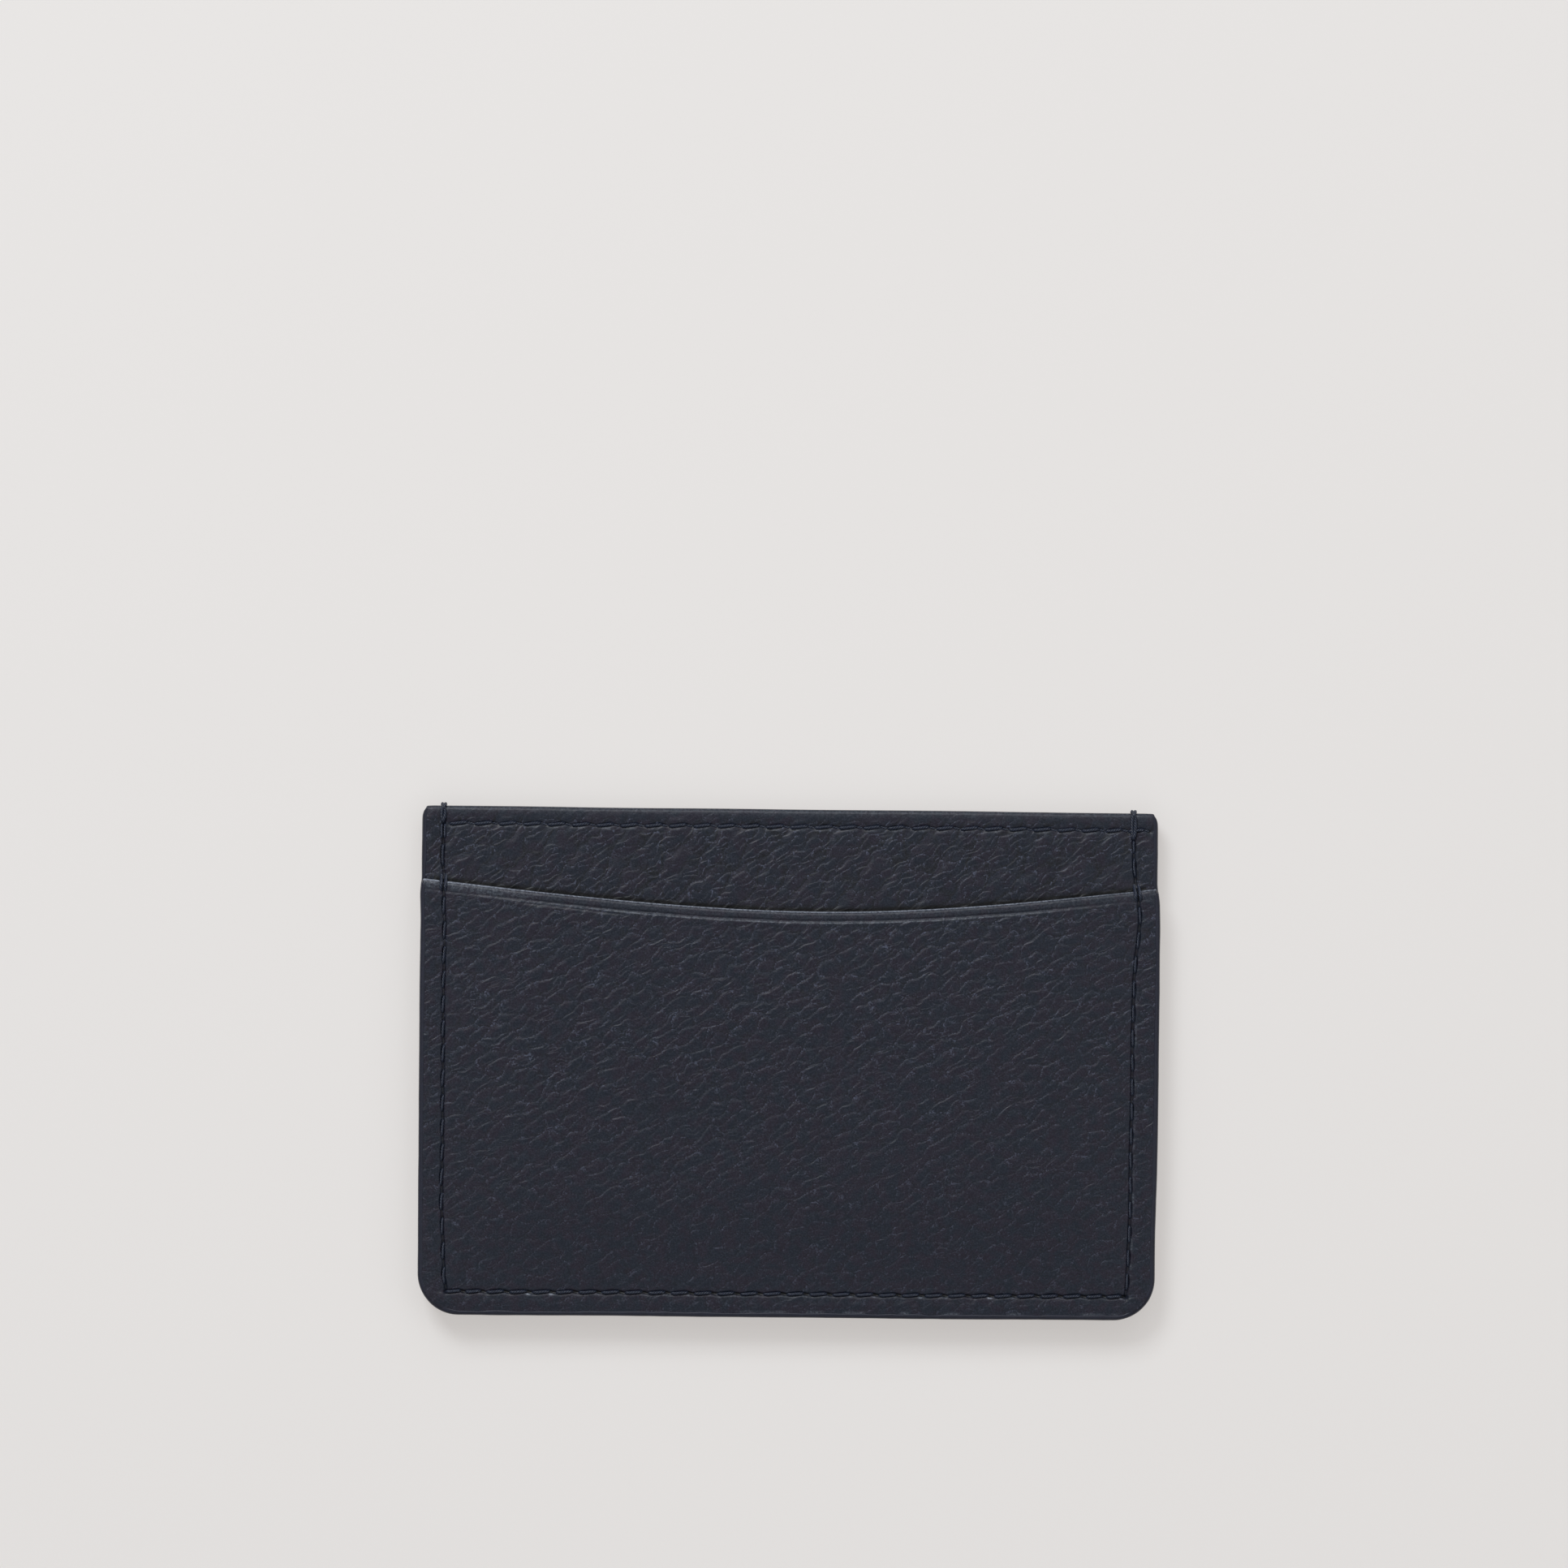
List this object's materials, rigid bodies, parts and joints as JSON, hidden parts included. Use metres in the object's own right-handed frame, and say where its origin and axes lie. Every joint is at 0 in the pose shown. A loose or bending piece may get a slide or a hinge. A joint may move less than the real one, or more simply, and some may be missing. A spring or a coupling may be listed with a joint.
{
  "type": "card holder",
  "caption": "Flat leather card holder with a curved pocket on each face and an open central compartment, sewn along its sides and bottom.",
  "frame": {"origin": "centre of the back face, where the holder rests on a table", "axes": "+X across the holder, +Y towards the open top edge, +Z out of the front face"},
  "size_m": [0.101, 0.07, 0.0063],
  "materials": {
    "pebbled_leather": "fine pebbled grain, soft satin",
    "woven_lining": "plain woven, matte",
    "edge_tape": "thin non-woven tape, matte",
    "sewing_thread": "twisted ply, low sheen",
    "edge_paint": "smooth flexible coat, satin"
  },
  "bodies": {
    "root": {"front_pocket": "pebbled_leather", "front_pocket_tape": "edge_tape", "front_pocket_lining": "woven_lining", "front_panel": "pebbled_leather", "front_panel_tape": "edge_tape", "front_panel_lining": "woven_lining", "back_panel_lining": "woven_lining", "back_panel_tape": "edge_tape", "back_panel": "pebbled_leather", "back_pocket_lining": "woven_lining", "back_pocket_tape": "edge_tape", "back_pocket": "pebbled_leather", "front_hem_thread": "sewing_thread", "front_hem_bobbin": "sewing_thread", "back_hem_thread": "sewing_thread", "back_hem_bobbin": "sewing_thread", "seam_thread": "sewing_thread", "seam_bobbin": "sewing_thread", "edge_coat": "edge_paint"}
  },
  "joints": []
}
